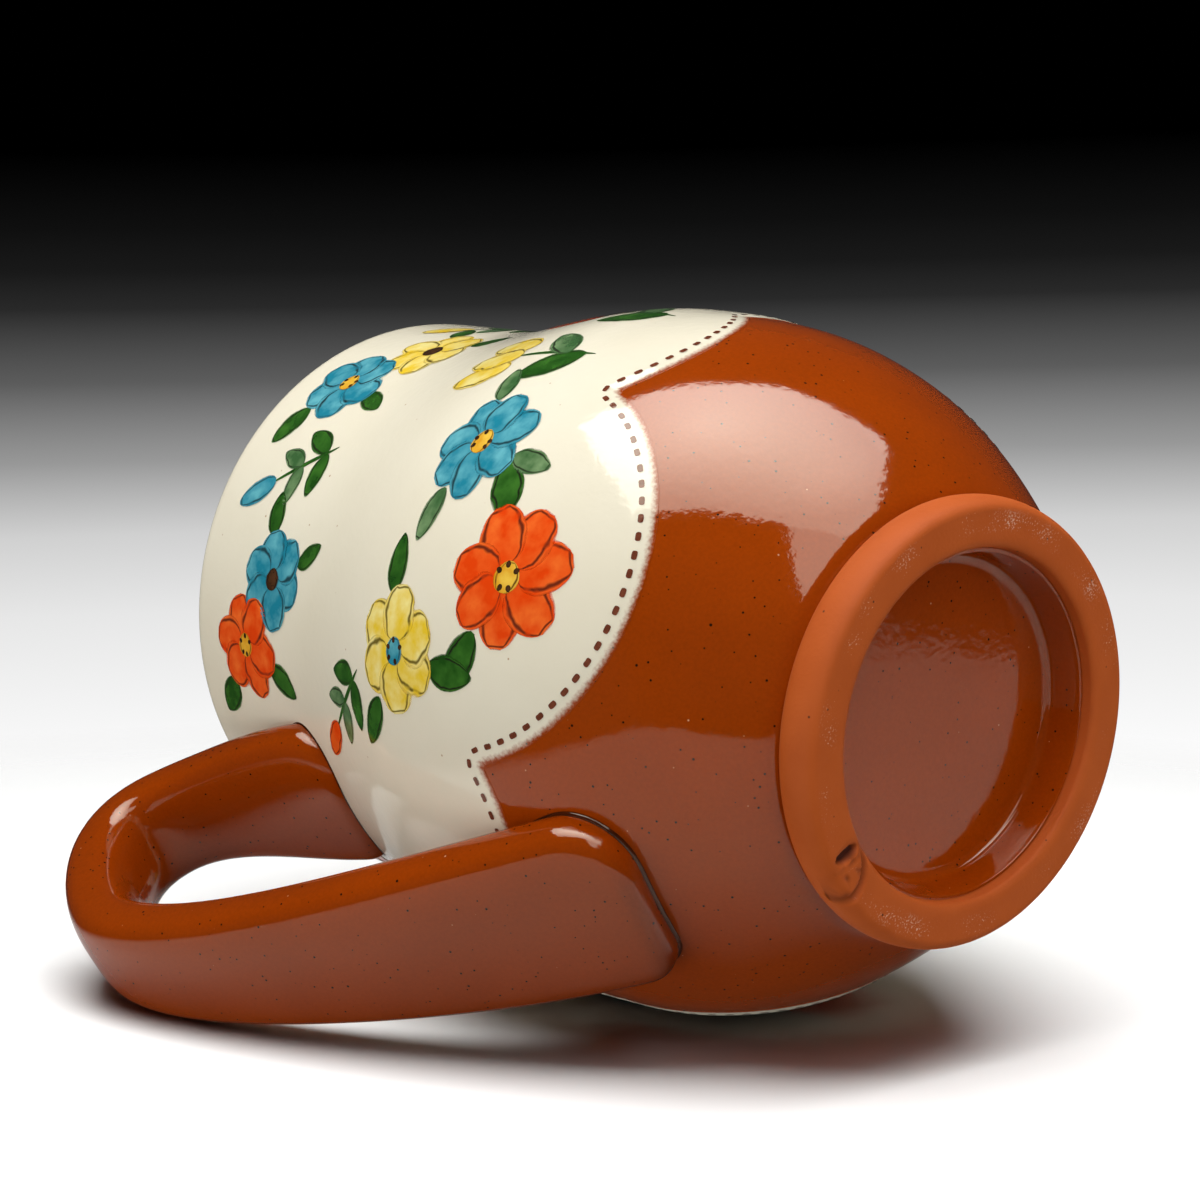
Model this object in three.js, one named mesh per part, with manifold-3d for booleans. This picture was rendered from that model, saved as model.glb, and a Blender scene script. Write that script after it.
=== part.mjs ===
// A big-bellied earthenware mug: a thrown body on a turned foot ring, a pulled strap handle that is
// stuck on with soft clay at both ends, and a coat of pale slip that hangs down the outside in lobes.
// Millimetres, +Z up. The origin is on the mug's axis in the plane that it stands on, and the handle
// points along -X.
import * as THREE from "three";
import { mergeVertices } from "three/addons/utils/BufferGeometryUtils.js";
import Module from "manifold-3d";

// Body: heights are measured from the table, radii from the mug's axis.
const RIM_HEIGHT = 120;
const RIM_RADIUS = 43.3;
const NECK_LENGTH = 24;
const BELLY_RADIUS = 48.7;
const BELLY_HEIGHT = 56;
const HEEL_RADIUS = 27.8;
const WALL = 5;
const FLOOR = 6;

// Foot ring: the land is the flat that touches the table.
const FOOT_HEIGHT = 5.8;
const FOOT_BULGE = 1.5;
const FOOT_LAND_INSET = 0.6;
const FOOT_LAND_WIDTH = 3;
const FOOT_LIP_WIDTH = 1.7;
const FOOT_LIP_RISE = 0.9;
const FOOT_SLOPE_WIDTH = 1.2;

// Handle strap: both roots lie on the wall, and the strap leaves the wall at an angle to the level. At
// each end it runs on a little past its root, down along the wall, and is cut to fit.
const STRAP_LOW_ROOT_HEIGHT = 23.4;
const STRAP_HIGH_ROOT_DROP = 30;
const STRAP_REACH = 80.3;
const STRAP_REACH_RISE = 3;
const STRAP_LOW_ANGLE = 49;
const STRAP_HIGH_ANGLE = 69;
const STRAP_LOW_PULL = 19.5;
const STRAP_BACK_PULL_DOWN = 20.5;
const STRAP_BACK_PULL_UP = 9.3;
const STRAP_HIGH_PULL = 52.8;
const STRAP_LOW_WIDTH = 26;
const STRAP_MID_WIDTH = 16.6;
const STRAP_HIGH_WIDTH = 23.7;
const STRAP_LOW_RUN_ON = 2.7;
const STRAP_HIGH_RUN_ON = 7;
const STRAP_LOW_THICKNESS = 9.8;
const STRAP_HIGH_THICKNESS = 8.4;
const STRAP_CORNER = 6;

// Soft clay that sticks the handle on, as a thin bed that stands out a little round each root.
const BED = 0.9;
const BED_BEAD = 0.8;

// Slip coat: its hem runs level, and hangs down in deep lobes and in shallow scallops. Each of these is
// part of a circle, seen square on, and its turn in degrees is counted from the handle.
const COAT = 0.6;
const HEM_HEIGHT = 45.3;
const LOBE_RADIUS = 26.8;
const LOBE_HEIGHT = 48.3;
const LOBE_TURNS = [55, 179, 291];
const SCALLOP_RADIUS = 22;
const SCALLOP_HEIGHT = 58.5;
const SCALLOP_TURNS = [9.5, 100.5, 235];

// Clearance that is left between pieces that lie against each other on a curve.
const CLEARANCE = 0.3;

// Facets.
const SIDES = 48;
const BELLY_STEPS = 9;
const SHOULDER_STEPS = 8;
const LIP_STEPS = 4;
const STRAP_STEPS = 44;
const STRAP_SIDES = 20;

const wasm = await Module();
wasm.setup();

const rad = THREE.MathUtils.degToRad;
const neckHeight = RIM_HEIGHT - NECK_LENGTH;
const lipRadius = WALL / 2;
const lipHeight = RIM_HEIGHT - lipRadius;
const floorHeight = FOOT_HEIGHT + FLOOR;

// The belly below its widest place is part of an ellipse that ends at the heel.
const bellyDrop = (BELLY_HEIGHT - FOOT_HEIGHT) / Math.sqrt(1 - (HEEL_RADIUS / BELLY_RADIUS) ** 2);

// Outer radius of the wall at a height: ellipse, soft shoulder, then a straight neck.
function wallRadius(height) {
  if (height < BELLY_HEIGHT) {
    return BELLY_RADIUS * Math.sqrt(1 - ((BELLY_HEIGHT - height) / bellyDrop) ** 2);
  }
  const rise = THREE.MathUtils.smoothstep(height, BELLY_HEIGHT, neckHeight);
  return THREE.MathUtils.lerp(BELLY_RADIUS, RIM_RADIUS, rise);
}

// The point that lies a distance out from the wall, square to it. Negative distances lie inside it.
function besideWall(height, distance) {
  const probe = 0.01;
  const slope = (wallRadius(height + probe) - wallRadius(height - probe)) / (2 * probe);
  const square = new THREE.Vector2(1, -slope).normalize().multiplyScalar(distance);
  return new THREE.Vector2(wallRadius(height), height).add(square);
}

// Heights of the wall's facets, from the heel to where the lip starts to turn over.
function wallHeights() {
  const heights = [];
  for (let i = 0; i < BELLY_STEPS; i++) {
    heights.push(THREE.MathUtils.lerp(FOOT_HEIGHT, BELLY_HEIGHT, i / BELLY_STEPS));
  }
  for (let i = 0; i <= SHOULDER_STEPS; i++) {
    heights.push(THREE.MathUtils.lerp(BELLY_HEIGHT, neckHeight, i / SHOULDER_STEPS));
  }
  heights.push(lipHeight);
  return heights;
}

// Turns a profile of (radius, height) points round the mug's axis.
function turned(profile) {
  return new THREE.LatheGeometry(profile, SIDES).rotateX(Math.PI / 2);
}

// Geometry to a solid that can be cut, and back.
function solid(geometry) {
  const bare = geometry.clone();
  bare.deleteAttribute("normal");
  bare.deleteAttribute("uv");
  const merged = mergeVertices(bare, 1e-4);
  const vertProperties = new Float32Array(merged.attributes.position.array);
  const triVerts = new Uint32Array(merged.index.array);
  return new wasm.Manifold(new wasm.Mesh({ numProp: 3, vertProperties, triVerts }));
}

function geometryOf(cut) {
  const mesh = cut.getMesh();
  const geometry = new THREE.BufferGeometry();
  geometry.setAttribute("position", new THREE.BufferAttribute(mesh.vertProperties, 3));
  geometry.setIndex(new THREE.BufferAttribute(mesh.triVerts, 1));
  geometry.computeVertexNormals();
  return geometry;
}

// Body: one thrown pot with a flat underside, a rounded lip and a flat floor inside.
function bodyGeometry() {
  const heights = wallHeights();
  const profile = [new THREE.Vector2(0, FOOT_HEIGHT)];
  profile.push(...heights.map((height) => besideWall(height, 0)));
  for (let i = 1; i < LIP_STEPS; i++) {
    const turn = (Math.PI * i) / LIP_STEPS;
    const radius = RIM_RADIUS - lipRadius + lipRadius * Math.cos(turn);
    profile.push(new THREE.Vector2(radius, lipHeight + lipRadius * Math.sin(turn)));
  }
  const inside = heights.map((height) => besideWall(height, -WALL)).reverse();
  const above = inside.filter((point) => point.y > floorHeight);
  const lowest = above[above.length - 1];
  const next = inside[above.length] ?? lowest;
  const share = next === lowest ? 0 : (lowest.y - floorHeight) / (lowest.y - next.y);
  const corner = lowest.clone().lerp(next, share);
  profile.push(...above, corner, new THREE.Vector2(0, corner.y));
  return turned(profile);
}

// Foot ring: flat land below, a round outside that bulges past the heel, and a sloping inside wall.
function footRingGeometry() {
  const landOuter = HEEL_RADIUS - FOOT_LAND_INSET;
  const landInner = landOuter - FOOT_LAND_WIDTH;
  const lipInner = landInner - FOOT_LIP_WIDTH;
  const recess = lipInner - FOOT_SLOPE_WIDTH;
  const bulge = HEEL_RADIUS + FOOT_BULGE;
  const section = new THREE.Path();
  section.moveTo(recess, FOOT_HEIGHT);
  section.lineTo(lipInner, FOOT_LIP_RISE);
  section.quadraticCurveTo(lipInner, 0, landInner, 0);
  section.lineTo(landOuter, 0);
  section.bezierCurveTo(bulge, 0, bulge, FOOT_HEIGHT, HEEL_RADIUS, FOOT_HEIGHT);
  section.lineTo(recess, FOOT_HEIGHT);
  return turned(section.getPoints(6));
}

// Solid of the mug's outside, swollen by a distance, to cut against.
function swollenMug(distance) {
  const skin = [...wallHeights(), RIM_HEIGHT].map((height) => besideWall(height, distance));
  const bottom = new THREE.Vector2(0, skin[0].y);
  const top = new THREE.Vector2(0, skin[skin.length - 1].y);
  return solid(turned([bottom, ...skin, top]));
}

// Centre line of the strap in the plane of (radius, height): up and out, over the top, and back down.
function strapLine() {
  const highRootHeight = RIM_HEIGHT - STRAP_HIGH_ROOT_DROP;
  const low = besideWall(STRAP_LOW_ROOT_HEIGHT, 0);
  const high = besideWall(highRootHeight, 0);
  const back = new THREE.Vector2(STRAP_REACH, highRootHeight + STRAP_REACH_RISE);
  const lean = (angle, pull) => new THREE.Vector2(pull, 0).rotateAround(new THREE.Vector2(), rad(angle));
  const line = new THREE.CurvePath();
  line.add(
    new THREE.CubicBezierCurve(
      low,
      low.clone().add(lean(STRAP_LOW_ANGLE, STRAP_LOW_PULL)),
      back.clone().add(new THREE.Vector2(0, -STRAP_BACK_PULL_DOWN)),
      back,
    ),
  );
  line.add(
    new THREE.CubicBezierCurve(
      back,
      back.clone().add(new THREE.Vector2(0, STRAP_BACK_PULL_UP)),
      high.clone().add(lean(STRAP_HIGH_ANGLE, STRAP_HIGH_PULL)),
      high,
    ),
  );
  return line;
}

// Width of the strap at a share of its length: broad at both roots and narrow at the back of the loop.
function strapWidth(share) {
  const low = STRAP_LOW_WIDTH - STRAP_MID_WIDTH;
  const high = STRAP_HIGH_WIDTH - STRAP_MID_WIDTH;
  const lowShare = 1 - THREE.MathUtils.smoothstep(share, 0.02, 0.6);
  const highShare = THREE.MathUtils.smoothstep(share, 0.8, 1);
  return STRAP_MID_WIDTH + low * lowShare + high * highShare;
}

// Section of the strap, one unit wide and thick, with well rounded edges.
function strapSection() {
  const soften = (value) => (Math.sign(value) * Math.abs(value) ** (2 / 3)) / 2;
  const points = [];
  for (let i = 0; i < STRAP_SIDES; i++) {
    const turn = (2 * Math.PI * i) / STRAP_SIDES;
    points.push(new THREE.Vector2(soften(Math.cos(turn)), soften(Math.sin(turn))));
  }
  return new THREE.Shape(points);
}

// Bar of the strap between two shares of its length, grown all round by a margin. A straight unit bar
// is bent along the centre line. The corners of a root are rounded, seen from outside.
function strapBar(margin, fromShare = 0, toShare = 1) {
  const line = strapLine();
  const length = line.getLength();
  const start = fromShare * length - STRAP_LOW_RUN_ON - margin;
  const end = toShare * length + STRAP_HIGH_RUN_ON + margin;
  const options = { depth: 1, steps: STRAP_STEPS, bevelEnabled: false };
  const bar = new THREE.ExtrudeGeometry(strapSection(), options);
  const place = bar.attributes.position;
  for (let i = 0; i < place.count; i++) {
    const step = place.getZ(i);
    const eased = step - 0.1 * Math.sin(2 * Math.PI * step);
    const along = THREE.MathUtils.lerp(start, end, eased);
    const share = THREE.MathUtils.clamp(along / length, 0, 1);
    const centre = line.getPoint(share);
    const tangent = line.getTangent(share);
    centre.addScaledVector(tangent, along - share * length);
    const toEnd = Math.min(along + STRAP_LOW_RUN_ON, length + STRAP_HIGH_RUN_ON - along) + margin;
    const intoCorner = THREE.MathUtils.clamp(STRAP_CORNER - toEnd, 0, STRAP_CORNER);
    const cornerLoss = STRAP_CORNER - Math.sqrt(STRAP_CORNER ** 2 - intoCorner ** 2);
    const width = strapWidth(share) + 2 * margin - 2 * cornerLoss;
    const thickness = THREE.MathUtils.lerp(STRAP_LOW_THICKNESS, STRAP_HIGH_THICKNESS, share) + 2 * margin;
    const outward = place.getY(i) * thickness;
    const radius = centre.x + tangent.y * outward;
    const height = centre.y - tangent.x * outward;
    place.setXYZ(i, -radius, place.getX(i) * width, height);
  }
  return solid(bar);
}

// Handle: the strap, cut where it sits on its bed of soft clay.
function handleGeometry() {
  const seat = swollenMug(2 * CLEARANCE + BED);
  return geometryOf(strapBar(0).subtract(seat));
}

// Bed of soft clay between the wall and one root of the strap.
function bedGeometry(fromShare, toShare) {
  const layer = swollenMug(CLEARANCE + BED).subtract(swollenMug(CLEARANCE));
  return geometryOf(layer.intersect(strapBar(BED_BEAD, fromShare, toShare)));
}

// Round tongue of slip at a turn from the handle, long enough to pass through the coat.
function tongue(turn, radius, height) {
  const reach = 2 * BELLY_RADIUS;
  const bar = new THREE.CylinderGeometry(radius, radius, reach, SIDES);
  bar.rotateZ(Math.PI / 2).translate(reach / 2, 0, height).rotateZ(rad(180 + turn));
  return solid(bar);
}

// What the slip leaves bare below its hem: a thick disc, less a tongue for each lobe and scallop.
function bareBelowHem() {
  const reach = 2 * BELLY_RADIUS;
  const disc = new THREE.CylinderGeometry(reach, reach, HEM_HEIGHT, SIDES);
  let bare = solid(disc.rotateX(Math.PI / 2).translate(0, 0, HEM_HEIGHT / 2));
  for (const turn of LOBE_TURNS) {
    bare = bare.subtract(tongue(turn, LOBE_RADIUS, LOBE_HEIGHT));
  }
  for (const turn of SCALLOP_TURNS) {
    bare = bare.subtract(tongue(turn, SCALLOP_RADIUS, SCALLOP_HEIGHT));
  }
  return bare;
}

// Slip coat: a thin jacket from the hem to the lip, with room for the two beds under the handle.
function coatGeometry() {
  const outside = wallHeights().map((height) => besideWall(height, CLEARANCE + COAT));
  const inside = wallHeights().map((height) => besideWall(height, CLEARANCE));
  const jacket = solid(turned([...outside, ...inside.reverse(), outside[0]]));
  const lowRoom = strapBar(BED_BEAD + CLEARANCE, 0, 0.45);
  const highRoom = strapBar(BED_BEAD + CLEARANCE, 0.55, 1);
  return geometryOf(jacket.subtract(bareBelowHem()).subtract(lowRoom).subtract(highRoom));
}

const honeyGlaze = { color: "#9a4412", roughness: 0.12, metalness: 0 };
const bareClay = { color: "#b4602f", roughness: 0.75, metalness: 0 };
const darkBed = { color: "#5e2409", roughness: 0.3, metalness: 0 };
const paleSlip = { color: "#e6dfc6", roughness: 0.14, metalness: 0 };

function piece(name, geometry, finish) {
  const mesh = new THREE.Mesh(geometry, new THREE.MeshStandardMaterial(finish));
  mesh.name = name;
  return mesh;
}

const mug = new THREE.Group();
mug.add(piece("body", bodyGeometry(), honeyGlaze));
mug.add(piece("foot_ring", footRingGeometry(), bareClay));
mug.add(piece("handle", handleGeometry(), honeyGlaze));
mug.add(piece("lower_handle_bed", bedGeometry(0, 0.45), darkBed));
mug.add(piece("upper_handle_bed", bedGeometry(0.55, 1), darkBed));
mug.add(piece("slip_coat", coatGeometry(), paleSlip));

export default mug;
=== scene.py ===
# %% [markdown]
# A hand-thrown earthenware mug with a big belly, a strap handle and a bare foot ring.
# The red clay shines through a clear honey glaze, and a coat of cream slip with painted flowers
# hangs down the outside in round lobes. The CAD model fixes every size, and this script dresses it.

# %% Load the frame
import math
import random

import bmesh
import bpy
from mathutils import Matrix, Vector, noise
from mathutils.kdtree import KDTree


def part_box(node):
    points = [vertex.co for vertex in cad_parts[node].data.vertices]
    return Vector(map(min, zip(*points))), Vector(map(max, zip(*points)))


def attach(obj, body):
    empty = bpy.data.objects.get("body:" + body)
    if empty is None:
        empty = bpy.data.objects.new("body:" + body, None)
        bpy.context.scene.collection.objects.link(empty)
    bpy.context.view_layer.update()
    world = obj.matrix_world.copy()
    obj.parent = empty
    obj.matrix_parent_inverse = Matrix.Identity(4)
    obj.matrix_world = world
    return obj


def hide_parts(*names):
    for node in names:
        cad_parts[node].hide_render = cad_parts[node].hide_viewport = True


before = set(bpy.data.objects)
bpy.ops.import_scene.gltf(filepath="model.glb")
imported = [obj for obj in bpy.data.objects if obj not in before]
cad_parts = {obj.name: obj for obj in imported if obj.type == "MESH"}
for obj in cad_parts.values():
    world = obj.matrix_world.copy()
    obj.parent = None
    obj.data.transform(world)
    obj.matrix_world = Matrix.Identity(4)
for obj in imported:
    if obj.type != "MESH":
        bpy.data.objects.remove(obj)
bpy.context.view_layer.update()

MM = 0.001

# %% [markdown]
# The mug's outline is one curve turned round an axis, so a single function of height can drive the
# body, the slip coat, the painting and the seats of the handle. Sharing it means that nothing floats
# or sinks. Below its widest place the belly is part of an ellipse, and above it a soft shoulder runs
# into a straight neck. The drawing is a little fuller than the CAD solid just under the belly.

# %% Outline of the wall
body_low, body_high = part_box("body")
RIM_HEIGHT = body_high.z
FOOT_HEIGHT = body_low.z
BELLY_RADIUS = body_high.x
BELLY_HEIGHT = 56 * MM
NECK_HEIGHT = 96 * MM
RIM_RADIUS = 43.3 * MM
HEEL_RADIUS = 27.8 * MM
WALL = 5 * MM
FULLNESS = 0.85 * MM
belly_drop = (BELLY_HEIGHT - FOOT_HEIGHT) / math.sqrt(1 - (HEEL_RADIUS / BELLY_RADIUS) ** 2)


def smooth_step(low, high, value):
    share = min(max((value - low) / (high - low), 0), 1)
    return share * share * (3 - 2 * share)


def solid_radius(height):
    if height < BELLY_HEIGHT:
        return BELLY_RADIUS * math.sqrt(1 - ((BELLY_HEIGHT - height) / belly_drop) ** 2)
    return BELLY_RADIUS + (RIM_RADIUS - BELLY_RADIUS) * smooth_step(BELLY_HEIGHT, NECK_HEIGHT, height)


def wall_radius(height):
    fuller = smooth_step(12 * MM, 30 * MM, height) * (1 - smooth_step(34 * MM, 54 * MM, height))
    return solid_radius(height) + FULLNESS * fuller


def wall_slope(height):
    probe = 0.01 * MM
    return (wall_radius(height + probe) - wall_radius(height - probe)) / (2 * probe)


def beside_wall(height, distance):
    """The (radius, height) of a point that lies a distance out from the wall, square to it."""
    slope = wall_slope(height)
    square = distance / math.hypot(1, slope)
    return wall_radius(height) + square, height - slope * square


def on_wall(turn, height, distance):
    """A point beside the wall, at a turn in radians round the mug's axis."""
    radius, level = beside_wall(height, distance)
    return Vector((radius * math.cos(turn), radius * math.sin(turn), level))


print(f"belly {BELLY_RADIUS / MM:.1f} mm, neck {wall_radius(RIM_HEIGHT) / MM:.1f} mm in radius")

# %% [markdown]
# The photograph was taken with a long lens, low over a white table, with the mug lying on its belly
# and its handle. The CAD frame holds the mug upright, so here the camera is rolled instead of the mug.
# Its three axes were solved from the outlines of the foot ring, the belly and the rim.

# %% Camera
CAMERA_PLACE = Vector((-0.1499, -0.1624, -0.1879))
CAMERA_FORWARD = Vector((0.4450, 0.4616, 0.7680)).normalized()
CAMERA_RIGHT = Vector((0.6825, 0.3798, -0.6230))
LENS = 69

camera_right = (CAMERA_RIGHT - CAMERA_FORWARD * CAMERA_RIGHT.dot(CAMERA_FORWARD)).normalized()
camera_up = camera_right.cross(CAMERA_FORWARD)
camera_data = bpy.data.cameras.new("photo_camera")
camera_data.lens = LENS
camera_data.sensor_width = 36
camera_data.clip_start = 10 * MM
camera = bpy.data.objects.new("photo_camera", camera_data)
camera.matrix_world = Matrix.Translation(CAMERA_PLACE) @ Matrix(
    (camera_right, camera_up, -CAMERA_FORWARD)
).transposed().to_4x4()
bpy.context.scene.collection.objects.link(camera)
bpy.context.scene.camera = camera
print("camera stands", round(CAMERA_PLACE.length / MM), "mm from the foot")

# %% [markdown]
# Every finish below is a small tree of shader nodes. One helper adds a node, sets its options, fills its
# sockets with values or links and hands back the output in use, so that a tree reads from top to bottom.
# A few short ones on top of it make the nodes that come back all the time: noise, sums, ranges and mixes.
# Colours are written as sRGB hex values, as a paint chart has them, and turned to linear ones for Blender.

# %% Helpers for finishes
def linear(code):
    def channel(text):
        value = int(text, 16) / 255
        return value / 12.92 if value <= 0.04045 else ((value + 0.055) / 1.055) ** 2.4

    return tuple(channel(code[i : i + 2]) for i in (1, 3, 5)) + (1.0,)


def add_node(tree, kind, inputs=None, out=None, **options):
    """Add a node and return one of its outputs, the first in use unless another is named."""
    node = tree.nodes.new("ShaderNode" + kind)
    for option, value in options.items():
        setattr(node, option, value)
    for key, value in (inputs or {}).items():
        named = [socket for socket in node.inputs if socket.name == key and socket.enabled]
        socket = named[0] if named else node.inputs[key]
        if isinstance(value, bpy.types.NodeSocket):
            tree.links.new(value, socket)
        else:
            socket.default_value = value
    return next((s for s in node.outputs if s.enabled and out in (None, s.name)), None)


def new_finish(name):
    """A new material, its empty node tree and the Object coordinates that patterns read."""
    material = bpy.data.materials.new(name)
    material.use_nodes = True
    material.node_tree.nodes.clear()
    return material, material.node_tree, add_node(material.node_tree, "TexCoord", out="Object")


def per_mm(size):
    """Scale of a texture whose features are this many millimetres across."""
    return 1 / (size * MM)


def noise_texture(tree, place, size, detail):
    return add_node(tree, "TexNoise", {"Vector": place, "Scale": per_mm(size), "Detail": detail})


def maths(tree, operation, *values, clamp=False):
    return add_node(tree, "Math", dict(enumerate(values)), operation=operation, use_clamp=clamp)


def ranged(tree, value, low, high, to_low=0.0, to_high=1.0, **options):
    """Map the values between low and high to another range, and hold them at its ends."""
    inputs = {"Value": value, "From Min": low, "From Max": high, "To Min": to_low, "To Max": to_high}
    return add_node(tree, "MapRange", inputs, **options)


def mixed(tree, factor, one, other, blend="MIX"):
    """A colour that turns from one to the other as the factor goes from 0 to 1."""
    return add_node(
        tree, "Mix", {"Factor": factor, "A": one, "B": other}, data_type="RGBA", blend_type=blend
    )


def length_of(tree, vector):
    return add_node(tree, "VectorMath", {0: vector}, operation="LENGTH", out="Value")


# %% [markdown]
# Fired red clay is full of fine grit. Iron grains burn to dark specks and bits of quartz stay pale, and
# the clear glaze shows them all. A 3-D Voronoi texture scatters points through the clay, and a surface
# only cuts through a few of them, which gives specks of uneven size and spacing just as in a real pot.

# %% Specks in the clay
def specks(tree, place, spacing, largest):
    """A mask of specks, with the mean spacing of their points and their largest radius in mm."""
    points = add_node(tree, "TexVoronoi", {"Vector": place, "Scale": per_mm(spacing)}, out="Distance")
    size = add_node(tree, "SeparateColor", {"Color": points.node.outputs["Color"]}, out="Red")
    radius = maths(tree, "MULTIPLY", size, largest / spacing)
    return ranged(tree, maths(tree, "SUBTRACT", radius, points), 0.0, 0.04)


# %% [markdown]
# Honey glaze: a clear, slightly amber glaze, thinner than a millimetre, fused over red clay. It gives the
# eye a deep orange brown with a wet shine, and reflections whose edges wander a little because the
# molten skin never sets quite flat. The colour sits in the base, and a bump of two sizes does the skin.

# %% Honey glaze
GLAZE_IOR = 1.52
GLAZE_ROUGHNESS = 0.065
AMBER_SHINE = "#fff9e4"


def clay_colour(tree, place):
    """Red clay under honey glaze: slow mottling, fine grain, dark and pale specks."""
    tone = mixed(tree, noise_texture(tree, place, 16, 3.0), linear("#9e3d02"), linear("#8a3402"))
    depth = ranged(tree, noise_texture(tree, place, 0.45, 2.0), 0.3, 0.7, 0.93, 1.06)
    grained = mixed(tree, 1.0, tone, depth, "MULTIPLY")
    dark = mixed(tree, specks(tree, place, 1.15, 0.21), grained, linear("#2a1208"))
    return mixed(tree, specks(tree, place, 3.2, 0.18), dark, linear("#d9a57c"))


def glaze_skin(tree, place):
    """Normals of a fired glaze: slow ripples under a fine orange peel."""
    ripple = noise_texture(tree, place, 9, 1.0)
    slow = add_node(tree, "Bump", {"Height": ripple, "Strength": 1.0, "Distance": 0.05 * MM})
    peel = noise_texture(tree, place, 1.2, 2.0)
    return add_node(
        tree, "Bump", {"Height": peel, "Normal": slow, "Strength": 1.0, "Distance": 0.022 * MM}
    )


def glazed(tree, colour, place, cover=None):
    """Put a colour under glaze. A mask of what it covers leaves the rest of the surface clear."""
    shader = add_node(
        tree,
        "BsdfPrincipled",
        {
            "Base Color": colour,
            "Roughness": GLAZE_ROUGHNESS,
            "IOR": GLAZE_IOR,
            "Specular Tint": linear(AMBER_SHINE),
            "Normal": glaze_skin(tree, place),
        },
    )
    if cover:
        clear = add_node(tree, "BsdfTransparent")
        shader = add_node(tree, "MixShader", {0: cover, 1: clear, 2: shader})
    add_node(tree, "OutputMaterial", {"Surface": shader})


honey_glaze, tree, place = new_finish("honey_glaze_on_red_clay")
glazed(tree, clay_colour(tree, place), place)
print("finish:", honey_glaze.name)

# %% [markdown]
# Cream slip: white clay thinned to cream and poured over the red pot, under the same clear glaze. It
# gives the eye a warm ivory that is never quite even, with a few grains of the red clay showing. Where
# the coat thins out at its hem, the brown comes through, so its colour fades out over a millimetre. The
# coat's mesh carries its distance from the hem, in millimetres, as an attribute.

# %% Cream slip
def cream_colour(tree, place):
    cloud = noise_texture(tree, place, 22, 4.0)
    tone = mixed(tree, cloud, linear("#eee7d2"), linear("#e2d9c0"))
    return mixed(tree, specks(tree, place, 3.2, 0.24), tone, linear("#b08a5c"))


cream_slip, tree, place = new_finish("cream_slip_under_clear_glaze")
hem_distance = add_node(tree, "Attribute", attribute_name="from_hem", out="Fac")
ragged = noise_texture(tree, place, 0.45, 3.0)
wander = maths(tree, "MULTIPLY_ADD", ragged, 0.9, hem_distance)
cover = ranged(tree, wander, 0.5, 1.65, interpolation_type="SMOOTHSTEP")
coat_colour = mixed(tree, cover, clay_colour(tree, place), cream_colour(tree, place))
glazed(tree, coat_colour, place)
print("finish:", cream_slip.name)

# %% [markdown]
# Bare clay: the foot ring is wiped clean before firing so that it doesn't stick to the kiln shelf. Open
# earthenware gives the eye a matt, slightly chalky orange. Use leaves pale scuffs along the crest that
# touches the table. They follow the distance from the mug's axis, which Object coordinates give directly
# because the piece sits at the origin.

# %% Bare clay
CREST_RADIUS = 25.9 * MM

bare_clay, tree, place = new_finish("bare_red_earthenware")
body_tone = mixed(tree, noise_texture(tree, place, 6, 4.0), linear("#bc5a23"), linear("#a94c18"))
grit = mixed(tree, specks(tree, place, 2.4, 0.22), body_tone, linear("#5c2b14"))
flat_place = add_node(tree, "VectorMath", {0: place, 1: (1, 1, 0)}, operation="MULTIPLY")
off_crest = maths(tree, "SUBTRACT", length_of(tree, flat_place), CREST_RADIUS)
crest = ranged(tree, maths(tree, "ABSOLUTE", off_crest), 1.7 * MM, 0.4 * MM)
rubbed = noise_texture(tree, place, 0.3, 2.0)
patch = noise_texture(tree, place, 8, 2.0)
scuff = ranged(tree, maths(tree, "ADD", rubbed, patch), 1.17, 1.31, to_high=0.5)
worn = mixed(tree, maths(tree, "MULTIPLY", scuff, crest), grit, linear("#efd3bd"))
# Painted shade: the dents of the kiln scar turn dark brown by their depth, as if in shadow.
painted_dent_shade = add_node(tree, "Attribute", attribute_name="gouge", out="Fac")
ring_colour = mixed(tree, painted_dent_shade, worn, linear("#3d160a"))
tooth = noise_texture(tree, place, 0.5, 3.0)
tooth_skin = add_node(tree, "Bump", {"Height": tooth, "Strength": 1.0, "Distance": 0.04 * MM})
shader = add_node(
    tree,
    "BsdfPrincipled",
    {"Base Color": ring_colour, "Roughness": 0.6, "Specular IOR Level": 0.15, "Normal": tooth_skin},
)
add_node(tree, "OutputMaterial", {"Surface": shader})
print("finish:", bare_clay.name)

# %% [markdown]
# Pooled glaze: round each root of the handle the glaze runs into the joint and lies thick. Thick honey
# glaze drinks more light, so the joint reads as a thin, very dark, wet line. The near-black tone is also
# painted shade, for the crevice where the strap meets the wall.

# %% Pooled glaze and painted joint shade
pooled_glaze_and_joint_shade, tree, place = new_finish("pooled_honey_glaze_and_painted_joint_shade")
pool = noise_texture(tree, place, 4, 2.0)
glazed(tree, mixed(tree, pool, linear("#2c0f04"), linear("#4e1d07")), place)
print("finish:", pooled_glaze_and_joint_shade.name)

# %% [markdown]
# The pieces are modelled with bmesh. One helper turns a profile round the axis as a lathe would, with
# the spin operator, and another puts a finished mesh into the scene, hangs it on the mug's root, hides
# the CAD part that it stands for, and gives it its finish.

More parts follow.
